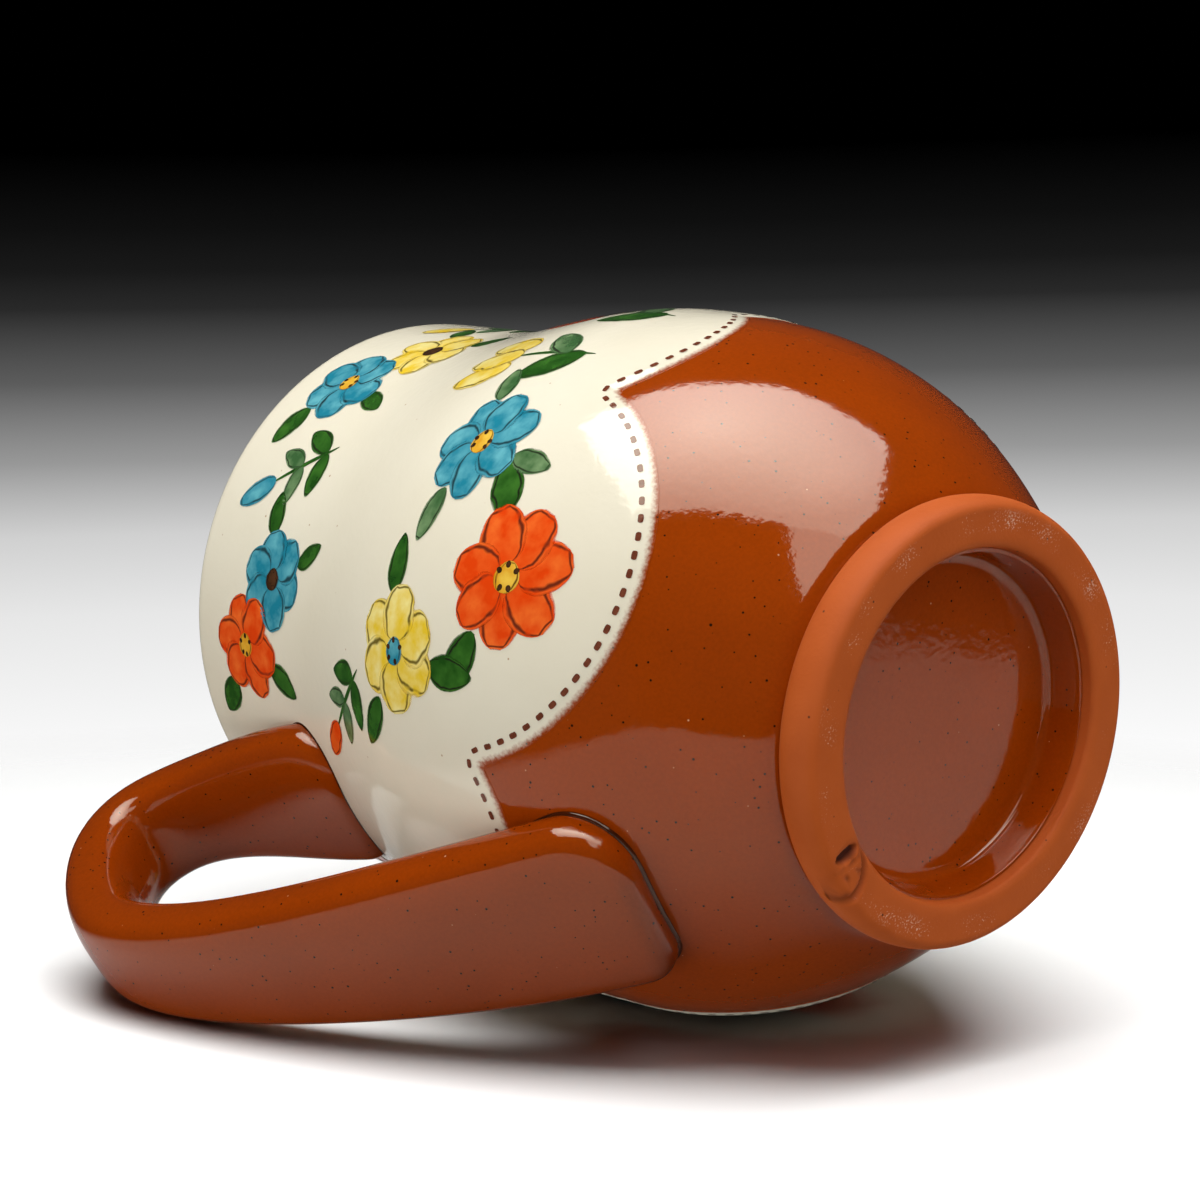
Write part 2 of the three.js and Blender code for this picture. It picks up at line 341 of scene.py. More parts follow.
# %% Helpers for pieces
def turned(profile, steps, closed=False):
    """A bmesh of (radius, height) points turned once round the axis, closed at seam and poles."""
    mesh = bmesh.new()
    verts = [mesh.verts.new((radius, 0, height)) for radius, height in profile]
    pairs = list(zip(verts, verts[1:]))
    if closed:
        pairs.append((verts[-1], verts[0]))
    edges = [mesh.edges.new(pair) for pair in pairs]
    bmesh.ops.spin(
        mesh,
        geom=verts + edges,
        cent=(0, 0, 0),
        axis=(0, 0, 1),
        angle=2 * math.pi,
        steps=steps,
        use_merge=True,
    )
    bmesh.ops.remove_doubles(mesh, verts=mesh.verts, dist=0.001 * MM)
    bmesh.ops.recalc_face_normals(mesh, faces=mesh.faces)
    return mesh


pieces = []


def add_piece(name, mesh, finish, slot, *nodes):
    data = bpy.data.meshes.new(name)
    mesh.to_mesh(data)
    mesh.free()
    data.shade_smooth()
    data.materials.append(finish)
    piece = bpy.data.objects.new(name, data)
    bpy.context.scene.collection.objects.link(piece)
    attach(piece, "root")
    if nodes:
        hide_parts(*nodes)
    pieces.append(piece)
    print(f"{name}: {len(data.polygons)} faces")
    return piece


def bezier(points, steps):
    """Points of a curve of any order, from its control points, both ends included."""
    made = []
    for i in range(steps + 1):
        row = [Vector(p) for p in points]
        while len(row) > 1:
            row = [a.lerp(b, i / steps) for a, b in zip(row, row[1:])]
        made.append(tuple(row[0]))
    return made


# %% [markdown]
# The body is thrown on a wheel from one lump, so one profile makes it: the glazed cove inside the foot
# ring, the belly and neck, a rounded lip, and the inside down to the floor. The stretch behind the foot
# ring is hidden, and only closes the form.

# %% Thrown body
FLOOR_HEIGHT = FOOT_HEIGHT + 6 * MM
LIP = WALL / 2
RECESS_HEIGHT = FOOT_HEIGHT + 1.2 * MM
RECESS_RADIUS = 21.3 * MM
COVE_RADIUS = 21.9 * MM
COVE_HEIGHT = 1.7 * MM
WALL_STEPS = 72
LIP_STEPS = 14

wall_heights = [
    FOOT_HEIGHT + (RIM_HEIGHT - LIP - FOOT_HEIGHT) * i / WALL_STEPS for i in range(WALL_STEPS + 1)
]
underside = [(0, RECESS_HEIGHT), (RECESS_RADIUS * 0.6, RECESS_HEIGHT - 0.05 * MM)]
underside += bezier(
    [
        (RECESS_RADIUS - 1.8 * MM, RECESS_HEIGHT - 0.1 * MM),
        (RECESS_RADIUS - 0.6 * MM, RECESS_HEIGHT - 0.1 * MM),
        (RECESS_RADIUS - 0.1 * MM, RECESS_HEIGHT - 0.5 * MM),
        (RECESS_RADIUS, RECESS_HEIGHT - 1.6 * MM),
    ],
    12,
)
underside += bezier(
    [
        (RECESS_RADIUS + 0.1 * MM, RECESS_HEIGHT - 2.6 * MM),
        (COVE_RADIUS - 0.3 * MM, COVE_HEIGHT + 1.0 * MM),
        (COVE_RADIUS, COVE_HEIGHT),
    ],
    8,
)
underside += [(COVE_RADIUS + 1.5 * MM, COVE_HEIGHT + 1.0 * MM), (HEEL_RADIUS - 1.5 * MM, FOOT_HEIGHT)]
outside = [beside_wall(height, 0) for height in wall_heights]
lip = [
    (
        RIM_RADIUS - LIP + LIP * math.cos(math.pi * i / LIP_STEPS),
        RIM_HEIGHT - LIP + LIP * math.sin(math.pi * i / LIP_STEPS),
    )
    for i in range(1, LIP_STEPS)
]
inside = [beside_wall(height, -WALL) for height in reversed(wall_heights)]
inside = [point for point in inside if point[1] > FLOOR_HEIGHT + 2 * MM]
floor_corner = bezier(
    [inside[-1], (inside[-1][0] - 2.2 * MM, FLOOR_HEIGHT), (inside[-1][0] - 6 * MM, FLOOR_HEIGHT)], 8
)[1:]
profile = underside + outside + lip + inside + floor_corner + [(0, FLOOR_HEIGHT)]
add_piece("thrown_body", turned(profile, 160), honey_glaze, "honey_glaze", "body")

# %% [markdown]
# The foot ring is turned from the same clay when the pot is leather hard: a fat rounded band with a flat
# land to stand on. A kiln prop left a scar on its crest: a crumbly oval with a groove round it and a gouge
# at one end. Moving a few vertices of the turned ring makes it, and an attribute tells the finish where
# it is deep, so that the finish paints shade into the dents.

# %% Turned foot ring
LAND_OUTER = HEEL_RADIUS - 0.6 * MM
LAND_INNER = LAND_OUTER - 3 * MM
LIP_INNER = LAND_INNER - 1.7 * MM
RING_RECESS = LIP_INNER - 0.8 * MM
BULGE = HEEL_RADIUS + 1.5 * MM
SCAR_PLACE = Vector((-25.9, 2.2)) * MM
SCAR_LEAN = math.radians(130)
SCAR_LENGTH = 4.2 * MM
SCAR_WIDTH = 2.8 * MM
GROOVE_DEPTH = 0.6 * MM
GOUGE_PLACE = Vector((-2.2, 0.9)) * MM
GOUGE_LEAN = math.radians(57)
GOUGE_LENGTH = 2.2 * MM
GOUGE_WIDTH = 0.95 * MM
GOUGE_DEPTH = 0.9 * MM
CRUMB_DEPTH = 0.3 * MM

ring_profile = bezier([(RING_RECESS, FOOT_HEIGHT), (LIP_INNER, 0.9 * MM)], 8)
ring_profile += bezier([(LIP_INNER, 0.9 * MM), (LIP_INNER, 0), (LAND_INNER, 0)], 10)[1:]
ring_profile += bezier([(LAND_INNER, 0), (LAND_OUTER, 0)], 14)[1:]
ring_profile += bezier(
    [(LAND_OUTER, 0), (BULGE, 0), (BULGE, FOOT_HEIGHT), (HEEL_RADIUS, FOOT_HEIGHT)], 18
)[1:]
ring = turned(ring_profile, 480, closed=True)
# Each dent's depth goes in the gouge attribute, and the finish paints it dark as shade.
dent_shade_layer = ring.verts.layers.float.new("gouge")
for vert in ring.verts:
    off = Matrix.Rotation(-SCAR_LEAN, 2) @ (vert.co.xy - SCAR_PLACE)
    if vert.co.z < FOOT_HEIGHT / 2 and off.length < 2 * SCAR_LENGTH:
        oval = math.hypot(off.x / SCAR_LENGTH, off.y / SCAR_WIDTH)
        groove = 1 - smooth_step(0.04, 0.22, abs(oval - 0.88))
        groove *= 0.15 + 0.85 * smooth_step(-0.5, 0.6, (0.5 * off.x - off.y) / SCAR_WIDTH)
        slot = Matrix.Rotation(-GOUGE_LEAN, 2) @ (off - GOUGE_PLACE)
        gouge = 1 - smooth_step(0.6, 1, math.hypot(slot.x / GOUGE_LENGTH, slot.y / GOUGE_WIDTH))
        crumbs = max(noise.noise(vert.co / (0.9 * MM)), 0) * (1 - smooth_step(0.7, 0.95, oval))
        vert.co.z += GROOVE_DEPTH * groove + GOUGE_DEPTH * gouge + CRUMB_DEPTH * crumbs
        # Painted shade: the deeper a dent, the darker the finish paints it.
        vert[dent_shade_layer] = max(gouge, 0.5 * groove, 0.7 * crumbs)
add_piece("turned_foot_ring", ring, bare_clay, "bare_clay", "foot_ring")

# %% [markdown]
# The handle is a strap of clay, pulled by hand, bent over and stuck on at both ends. It is broad at the
# roots and narrow at the back of the loop, with soft edges. A section loop is extruded again and again
# along the centre line, and each new loop is set to the width and thickness that the strap has there.

# %% Centre line of the strap
LOW_ROOT_HEIGHT = 23.4 * MM
LOW_RUN_ON = 2.7 * MM
HIGH_RUN_ON = 7 * MM
HIGH_ROOT_HEIGHT = RIM_HEIGHT - 30 * MM
STRAP_BACK = Vector((80.3 * MM, HIGH_ROOT_HEIGHT + 3 * MM))
LINE_STEPS = 200


def reaches(points):
    """The length along a line up to each of its points."""
    reach = [0.0]
    for before, after in zip(points, points[1:]):
        reach.append(reach[-1] + (after - before).length)
    return reach


def leaning(angle, pull):
    return Vector((math.cos(math.radians(angle)), math.sin(math.radians(angle)))) * pull * MM


low_root = Vector((solid_radius(LOW_ROOT_HEIGHT), LOW_ROOT_HEIGHT))
high_root = Vector((solid_radius(HIGH_ROOT_HEIGHT), HIGH_ROOT_HEIGHT))
strap_points = bezier(
    [low_root, low_root + leaning(49, 19.5), STRAP_BACK + leaning(-90, 20.5), STRAP_BACK], LINE_STEPS
)
strap_points += bezier(
    [STRAP_BACK, STRAP_BACK + leaning(90, 9.3), high_root + leaning(69, 52.8), high_root], LINE_STEPS
)[1:]
low_end = low_root - leaning(49, 1) * (LOW_RUN_ON / MM)
high_end = high_root - leaning(69, 1) * (HIGH_RUN_ON / MM)
strap_points = [low_end] + [Vector(point) for point in strap_points] + [high_end]
strap_reach = reaches(strap_points)
STRAP_LENGTH = strap_reach[-1]


def strap_at(along):
    """Centre and direction of the strap, in (radius, height), at a length along it."""
    i = next((k for k in range(1, len(strap_reach) - 1) if strap_reach[k] >= along), len(strap_reach) - 1)
    step = strap_points[i] - strap_points[i - 1]
    share = (along - strap_reach[i - 1]) / step.length
    direction = (strap_points[min(i + 2, len(strap_points) - 1)] - strap_points[max(i - 3, 0)]).normalized()
    return strap_points[i - 1] + step * share, direction


print(f"strap is {STRAP_LENGTH / MM:.0f} mm long")

# %% [markdown]
# In section the strap is a rounded box. Its ends are rounded off where they lie flat on the wall, the near
# corner of each more than the far one.

# %% Pulled strap handle
LOW_WIDTH, MID_WIDTH, HIGH_WIDTH = 26 * MM, 16.6 * MM, 23.7 * MM
LOW_THICKNESS, HIGH_THICKNESS = 9.8 * MM, 8.4 * MM
NEAR_CORNER, FAR_CORNER = 9 * MM, 5 * MM
ROOT_EDGE = 3 * MM
SUNK = 2.5 * MM
SECTION_SIDES = 48
LOOP_SPACING = 1.3 * MM


def corner_loss(radius, to_end):
    """How far a rounded corner of this radius draws in at a distance from the end."""
    into = min(max(radius - to_end, 0), radius)
    return radius - math.sqrt(radius**2 - into**2)


def strap_size(along, side):
    """Half the width on one side (-1 or 1) and half the thickness of the strap at a length along it."""
    share = min(max((along - LOW_RUN_ON) / (STRAP_LENGTH - LOW_RUN_ON - HIGH_RUN_ON), 0), 1)
    to_end = max(min(along, STRAP_LENGTH - along), 0)
    width = MID_WIDTH + (LOW_WIDTH - MID_WIDTH) * (1 - smooth_step(0.02, 0.6, share))
    width += (HIGH_WIDTH - MID_WIDTH) * smooth_step(0.8, 1, share)
    thickness = LOW_THICKNESS + (HIGH_THICKNESS - LOW_THICKNESS) * share
    return (
        width / 2 - corner_loss(NEAR_CORNER if side < 0 else FAR_CORNER, to_end),
        thickness / 2 - corner_loss(ROOT_EDGE, to_end),
    )


def strap_point(along, turn):
    """A point on the strap's skin, a rounded box in section, that never sinks right through the wall."""
    centre, direction = strap_at(along)
    half_width, half_thickness = strap_size(along, math.cos(turn))
    across = math.copysign(abs(math.cos(turn)) ** (2 / 3), math.cos(turn)) * half_width
    outward = math.copysign(abs(math.sin(turn)) ** (2 / 3), math.sin(turn)) * half_thickness
    height = centre.y - direction.x * outward
    sunk = math.sqrt((wall_radius(height) - SUNK) ** 2 - across**2)
    radius = max(centre.x + direction.y * outward, sunk)
    return Vector((-radius, across, height))


end_steps = [NEAR_CORNER * (1 - math.cos(math.pi / 2 * i / 14)) for i in range(14)]
loop_count = round((STRAP_LENGTH - 2 * NEAR_CORNER) / LOOP_SPACING)
loop_places = end_steps + [
    NEAR_CORNER + (STRAP_LENGTH - 2 * NEAR_CORNER) * i / loop_count for i in range(loop_count + 1)
]
loop_places += [STRAP_LENGTH - step for step in reversed(end_steps)]

strap = bmesh.new()
bmesh.ops.create_circle(strap, cap_ends=True, segments=SECTION_SIDES, radius=1)
loop = list(strap.verts)
edges = list(strap.edges)
turns = [math.atan2(vert.co.y, vert.co.x) for vert in loop]
for count, along in enumerate(loop_places):
    if count:
        grown = set(bmesh.ops.extrude_edge_only(strap, edges=edges)["geom"])
        loop = [next(e.other_vert(v) for e in v.link_edges if e.other_vert(v) in grown) for v in loop]
        edges = [strap.edges.get(pair) for pair in zip(loop, loop[1:] + loop[:1])]
    for vert, turn in zip(loop, turns):
        vert.co = strap_point(along, turn)
bmesh.ops.contextual_create(strap, geom=edges)
bmesh.ops.recalc_face_normals(strap, faces=strap.faces)
strap_handle = add_piece("strap_handle", strap, honey_glaze, "honey_glaze", "handle")

# %% [markdown]
# The roots are stuck on with soft clay, and glaze pools all round them. To find that joint, each
# section of the strap is asked where the wall cuts it. The answers run down one edge of the root, across
# its blunt end and back up the other edge. A round bevel along that line is the bead of glaze, dark
# partly as pooled glaze and partly as painted shade of the crevice.

# %% Joint line round a root
BEAD_RADIUS = 0.45 * MM


def halved(low, high, holds, steps):
    """Halve a stretch again and again, to find where something that holds at its low end stops."""
    for _ in range(steps):
        middle = (low + high) / 2
        low, high = (middle, high) if holds(middle) else (low, middle)
    return middle


def wall_cut(along, across):
    """How far out from the strap's centre the wall passes, at a length along it and a place across."""
    centre, direction = strap_at(along)

    def outside(outward):
        radius = math.hypot(centre.x + direction.y * outward, across)
        return radius - wall_radius(centre.y - direction.x * outward)

    low, high = -LOW_THICKNESS, LOW_THICKNESS
    if outside(low) > outside(high):
        low, high = high, low
    return halved(low, high, lambda outward: outside(outward) < 0, 40)


def joint_point(along, across):
    centre, direction = strap_at(along)
    outward = wall_cut(along, across)
    return Vector((-(centre.x + direction.y * outward), across, centre.y - direction.x * outward))


def joint_half_width(along, side):
    """Half the width of the strap where it goes into the wall, and nothing once it has left it."""
    half_width, half_thickness = strap_size(along, side)

    def in_strap(across):
        depth = abs(wall_cut(along, across)) / half_thickness
        return across < half_width * max(1 - depth**3, 0) ** (1 / 3)

    return halved(0.0, half_width, in_strap, 24)


def joint_edge(from_end, side):
    steps = [0.25 * MM * i for i in range(180)]
    edge = [(from_end(step), side * joint_half_width(from_end(step), side)) for step in steps]
    return [(along, across) for along, across in edge if abs(across) > 0.5 * MM]


def joint_line(from_end):
    """Closed line round a root. from_end turns a distance from its blunt end to a length along."""
    far_edge, near_edge = joint_edge(from_end, 1), joint_edge(from_end, -1)
    (far_end, far), (near_end, near) = far_edge[0], near_edge[0]
    shares = [i / 24 for i in range(1, 24)]
    line = [joint_point(*place) for place in reversed(far_edge)]
    line += [joint_point(far_end + (near_end - far_end) * s, far + (near - far) * s) for s in shares]
    return line + [joint_point(*place) for place in near_edge]


def beaded(name, line, node):
    curve = bpy.data.curves.new(name, "CURVE")
    curve.dimensions = "3D"
    curve.bevel_depth = BEAD_RADIUS
    curve.bevel_resolution = 3
    spline = curve.splines.new("POLY")
    spline.points.add(len(line) - 1)
    spline.use_cyclic_u = True
    for point, place in zip(spline.points, line):
        point.co = (*place, 1)
    holder = bpy.data.objects.new(name, curve)
    mesh = bmesh.new()
    mesh.from_mesh(holder.to_mesh())
    bpy.data.objects.remove(holder)
    bmesh.ops.recalc_face_normals(mesh, faces=mesh.faces)
    add_piece(name, mesh, pooled_glaze_and_joint_shade, "luting_slip", node)


# %% Beads of pooled glaze and painted joint shade
beaded("lower_root_bead", joint_line(lambda step: step), "lower_handle_bed")
beaded("upper_root_bead", joint_line(lambda step: STRAP_LENGTH - step), "upper_handle_bed")

# %% [markdown]
# The slip coat is poured and dipped, so it is a skin of even thickness that thins out at its hem. The
# hem hangs down in three deep lobes and in shallow scallops. Each is part of a circle, seen square on.
# The skin starts as a plain turned sleeve whose heights are only shares from hem to lip, and then every
# vertex is laid on the wall between the hem and the lip of its own turn.

# %% Hem of the coat
HEM_HEIGHT = 45.3 * MM
LOBE_TURNS = [math.radians(180 + turn) for turn in (55, 179, 289)]
LOBES = [(turn, 26.8 * MM, 48.3 * MM) for turn in LOBE_TURNS]
SCALLOP_TURNS = [math.radians(180 + turn) for turn in (9.5, 100.5, 235)]
SCALLOPS = [(turn, 22 * MM, 58.5 * MM) for turn in SCALLOP_TURNS]
HEM_SAMPLES = 4320


def hem_height(turn):
    lowest = HEM_HEIGHT
    for middle, radius, level in LOBES + SCALLOPS:
        off = abs((turn - middle + math.pi) % (2 * math.pi) - math.pi)
        if off < math.radians(40):
            height = HEM_HEIGHT
            for _ in range(20):
                aside = min(wall_radius(height) * math.sin(off), radius)
                height = level - math.sqrt(radius**2 - aside**2)
            lowest = min(lowest, height)
    return lowest


hem_tree = KDTree(HEM_SAMPLES)
for i in range(HEM_SAMPLES):
    turn = 2 * math.pi * i / HEM_SAMPLES
    hem_tree.insert(on_wall(turn, hem_height(turn), 0), i)
hem_tree.balance()


def from_hem(turn, height):
    return hem_tree.find(on_wall(turn, height, 0))[2]


print(f"the lobes hang {(HEM_HEIGHT - hem_height(LOBE_TURNS[0])) / MM:.1f} mm below the hem")

# %% Slip coat
COAT = 0.3 * MM
COAT_FADE = 3 * MM
COAT_COLUMNS = 432
COAT_ROWS = 96
LIP_SHARE = 0.94
LIP_TURN = math.radians(75)


def coat_lift(distance):
    return COAT * (0.12 + 0.88 * smooth_step(0, COAT_FADE, distance))


def coat_place(turn, share):
    """Place on the coat at a share of the way from the hem to the end of the lip, and its distance in."""
    hem = hem_height(turn)
    if share < LIP_SHARE:
        height = hem + (RIM_HEIGHT - LIP - hem) * (share / LIP_SHARE) ** 1.6
        distance = from_hem(turn, height)
        return on_wall(turn, height, coat_lift(distance)), distance
    roll = LIP_TURN * (share - LIP_SHARE) / (1 - LIP_SHARE)
    reach = LIP + COAT * (1 - 0.9 * smooth_step(0, LIP_TURN, roll))
    radius = RIM_RADIUS - LIP + reach * math.cos(roll)
    height = RIM_HEIGHT - LIP + reach * math.sin(roll)
    return Vector((radius * math.cos(turn), radius * math.sin(turn), height)), RIM_HEIGHT - hem


coat = turned([(1, i / COAT_ROWS) for i in range(COAT_ROWS + 1)], COAT_COLUMNS)
hem_layer = coat.verts.layers.float.new("from_hem")
for vert in coat.verts:
    place, distance = coat_place(math.atan2(vert.co.y, vert.co.x), vert.co.z)
    vert.co = place
    vert[hem_layer] = distance / MM
bmesh.ops.recalc_face_normals(coat, faces=coat.faces)
slip_coat = add_piece("poured_slip_coat", coat, cream_slip, "cream_slip", "slip_coat")
shell = slip_coat.modifiers.new("thickness", "SOLIDIFY")
shell.thickness = COAT
shell.offset = -1

# %% [markdown]
# A toothed wheel was rolled along the hem while the slip was soft, which left a row of short brown
# dashes two millimetres in from the edge. The row keeps its distance from the hem, so it is found by
# walking up the wall at each turn until the hem is that far away. Then equal steps along it give places
# for small rounded tiles, a few faces each. Dark glaze lies in the marks, unevenly, so they look stained.

# %% Dashes along the hem
DASH_INSET = 2.1 * MM
DASH_PITCH = 2.4 * MM
DASH_LENGTH = 1.2 * MM
DASH_WIDTH = 0.78 * MM
DASH_LIFT = 0.03 * MM
DASH_SAMPLES = 2160


def dash_height(turn):
    low = hem_height(turn)
    return halved(low, low + 12 * MM, lambda height: from_hem(turn, height) < DASH_INSET, 24)


def laid_tile(mesh, centre, along, out, length, width, sides):
    """A small rounded tile, laid at a place with its length along one direction."""
    tile = bmesh.ops.create_circle(mesh, cap_ends=True, segments=sides, radius=1)["verts"]
    side = out.cross(along).normalized()
    for vert in tile:
        x = math.copysign(abs(vert.co.x) ** 0.6, vert.co.x) * length / 2
        y = math.copysign(abs(vert.co.y) ** 0.6, vert.co.y) * width / 2
        vert.co = centre + along * x + side * y
    return tile


def coat_point(turn, height, lift):
    return on_wall(turn, height, coat_lift(from_hem(turn, height)) + lift)


dash_turns = [2 * math.pi * i / DASH_SAMPLES for i in range(DASH_SAMPLES + 1)]
dash_line = [coat_point(turn, dash_height(turn), DASH_LIFT) for turn in dash_turns]
dash_reach = reaches(dash_line)
dash_count = round(dash_reach[-1] / DASH_PITCH)

stamped, tree, place = new_finish("stamped_dashes_under_glaze")
stain = noise_texture(tree, place, 0.6, 2.0)
glazed(tree, mixed(tree, stain, linear("#4a1d10"), linear("#854a34")), place)

dashes = bmesh.new()
sample = 1
for count in range(dash_count):
    goal = dash_reach[-1] * count / dash_count
    while dash_reach[sample] < goal:
        sample += 1
    centre = dash_line[sample]
    along = (dash_line[min(sample + 2, DASH_SAMPLES)] - dash_line[max(sample - 3, 0)]).normalized()
    slope = wall_slope(centre.z)
    out = Vector((centre.x, centre.y, -slope * math.hypot(centre.x, centre.y))).normalized()
    along = (along - out * along.dot(out)).normalized()
    laid_tile(dashes, centre, along, out, DASH_LENGTH, DASH_WIDTH, 12)
bmesh.ops.recalc_face_normals(dashes, faces=dashes.faces)
add_piece("hem_dashes", dashes, stamped, "cream_slip")
print(dash_count, "dashes")

# %% [markdown]
# The flowers are painted on the slip with thin colours before the glaze goes on, one stroke of the brush
# for each petal, leaf or stem. So one helper lays one stroke: a small grid, drawn in to a petal's
# outline and wrapped just above the coat, in thin layers. Each vertex keeps its paint and its
# place along and across the stroke, which is all that the finish needs to draw the outline and the wash.

# %% Brush strokes
STROKE_LIFT = 0.045 * MM
LAYER_LIFT = 0.01 * MM
ORANGE, YELLOW, TURQUOISE = ("#e2420a", "#f2702a"), ("#e9c42e", "#f5e89c"), ("#1f7f95", "#6ab6c0")
LEAF, SAGE = ("#1d4a14", "#3f7428"), ("#3a6136", "#7e9b6c")
OCHRE, UMBER = ("#d8961a", "#f2cd52"), ("#33200f", "#553620")

brush = random.Random(11)
painting = bmesh.new()
paint_layer = painting.verts.layers.float_color.new("paint")
wash_layer = painting.verts.layers.float_color.new("wash")
along_layer = painting.verts.layers.float.new("along")
across_layer = painting.verts.layers.float.new("across")


def stroke(spot, lean, start, length, width, colour, layer=0, tip=0.55, bend=0.0):
    """One stroke from a spot (turn, height), leaning at an angle from level, sizes in millimetres.
    Its colour is a pair, the full paint and the thin wash of it."""
    turn, height = spot
    steep = math.hypot(1, wall_slope(height))
    rows = 4 if length < 3 else 14
    verts = bmesh.ops.create_grid(painting, x_segments=rows, y_segments=8, size=1)["verts"]
    for vert in verts:
        along = (1 - math.cos(math.pi * (vert.co.x + 1) / 2)) / 2
        across = vert.co.y
        half = width / 2 * math.sin(math.pi * min(max(along, 0.012), 0.988) ** 0.85) ** tip
        x = (start + length * along) * MM
        y = (half * across + bend * along**2) * MM
        level = x * math.cos(lean) - y * math.sin(lean)
        rise = x * math.sin(lean) + y * math.cos(lean)
        lift = STROKE_LIFT + LAYER_LIFT * layer
        vert.co = coat_point(turn + level / wall_radius(height), height + rise / steep, lift)
        vert[paint_layer] = linear(colour[0])
        vert[wash_layer] = linear(colour[1])
        vert[along_layer] = along
        vert[across_layer] = across


# %% [markdown]
# Simple folk motifs are built from strokes: a daisy of six or seven petals, a tulip, and a sprig of
# leaves with a bud. A seeded random generator gives the strokes the small slips of a quick hand.

# %% Motifs
def slip(amount):
    return brush.uniform(-amount, amount)


def daisy(spot, size, petals, colour, heart):
    first = brush.uniform(0, 2 * math.pi)
    for i in range(petals):
        lean = first + 2 * math.pi * (i + slip(0.1)) / petals
        length = size * 0.42 * (1 + slip(0.07))
        width = size * 2.7 / petals * (1 + slip(0.07))
        stroke(spot, lean, size * 0.08, length, width, colour, layer=1 + i, tip=0.4)
    stroke(spot, 0, -size * 0.11, size * 0.22, size * 0.22, heart, layer=9, tip=0.5)
    for i in range(5):
        lean = 2 * math.pi * (i + slip(0.3)) / 5
        stroke(spot, lean, size * 0.06, size * 0.05, size * 0.045, UMBER, layer=10, tip=0.5)


def leaf(spot, lean, start, length, colour):
    width = length * 0.56 * (1 + slip(0.12))
    stroke(spot, lean, start, length, width, colour, layer=brush.random(), tip=0.65, bend=slip(0.8))


def moved(spot, lean, distance):
    """The spot that lies a distance in millimetres from another one."""
    turn, height = spot
    rise = distance * math.sin(lean) * MM / math.hypot(1, wall_slope(height))
    return turn + distance * math.cos(lean) * MM / wall_radius(height), height + rise


def tulip(spot, lean, size, colour):
    """A cup of three petals on a stem with two leaves, that grows from its spot."""
    stroke(spot, lean, 0, size * 0.95, 0.8, LEAF)
    leaf(moved(spot, lean, size * 0.1), lean + 0.6, 0, size * 0.6, LEAF)
    leaf(moved(spot, lean, size * 0.28), lean - 0.7, 0, size * 0.5, SAGE)
    for side in (-0.2, 0.2, 0.0):
        stroke(spot, lean + side, size * 0.82, size * 0.62, size * 0.34, colour, layer=2 if side else 3)


def sprig(spot, lean, size, colour):
    """A stem with leaves in pairs and a bud at its tip."""
    stroke(spot, lean, 0, size * 0.9, 0.8, LEAF)
    for i in range(2):
        joint = moved(spot, lean, size * (0.12 + 0.32 * i))
        for side in (-1, 1):
            leaf(joint, lean + side * (0.95 - 0.15 * i), 0.4, size * (0.45 - 0.06 * i), (LEAF, SAGE)[i])
    stroke(spot, lean, size * 0.82, size * 0.52, size * 0.26, colour, layer=3, tip=0.5)


def leaf_ring(spot, size, leans, colour):
    for lean in leans:
        leaf(spot, lean + slip(0.12), size * 0.44, size * (0.46 + slip(0.05)), colour)


# %% [markdown]
# Each lobe carries a posy of three daisies and a sprig, tulips stand between the lobes, and pairs of small
# daisies and sprigs run round the neck, with a gap for the handle. Turns are in degrees round the axis.

# %% Layout of the painting
def around(turn, height):
    return math.radians(turn), height * MM


POSY = [
    (-3, 38.5, 19, 7, ORANGE, OCHRE),
    (17, 54.5, 17.5, 7, TURQUOISE, OCHRE),
    (-18, 57, 17, 6, YELLOW, TURQUOISE),
]
for lobe in LOBE_TURNS:
    middle = math.degrees(lobe)
    sprig(around(middle - 23, 67), math.radians(140), 15, ORANGE)
    for turn, height, size, petals, colour, heart in POSY:
        spot = around(middle + turn, height)
        leans = [math.radians(angle) for angle in ((35, 150) if colour == ORANGE else (20, 160, 265))]
        leaf_ring(spot, size, leans, LEAF if colour != TURQUOISE else SAGE)
        daisy(spot, size, petals, colour, heart)

for turn, height, lean, colour in (
    (274, 50, 96, YELLOW),
    (292, 51, 84, ORANGE),
    (311, 52, 94, TURQUOISE),
    (37, 50, 96, YELLOW),
    (56, 51, 86, TURQUOISE),
    (151, 55, 82, ORANGE),
):
    tulip(around(turn, height), math.radians(lean), 18, colour)

NECK_COLOURS = [ORANGE, TURQUOISE, YELLOW]
for i in range(11):
    turn = 215 + 29 * i
    if i % 2:
        sprig(around(turn + 6, 94), math.radians(132 + slip(10)), 16, NECK_COLOURS[(i + 1) // 2 % 3])
        continue
    for nth, side, height, size in ((0, -7, 105, 16), (1, 7, 97, 15)):
        spot = around(turn + side, height + slip(1))
        leaf_ring(spot, size, [math.radians(angle) for angle in ((150, 250), (25, 300))[nth]], LEAF)
        daisy(spot, size, 6, NECK_COLOURS[(i // 2 + nth) % 3], (OCHRE, UMBER)[nth])
bmesh.ops.remove_doubles(painting, verts=painting.verts, dist=0.002 * MM)
print(len(painting.faces), "faces of paint")

# %% [markdown]
# Underglaze paint: metal oxides in water, brushed on the slip and sealed under the clear glaze. It gives
# the eye a flat wet colour that is washed out in places and fades into the slip at its border. A thin
# dark line is drawn a little inside that border, and it is broken here and there.

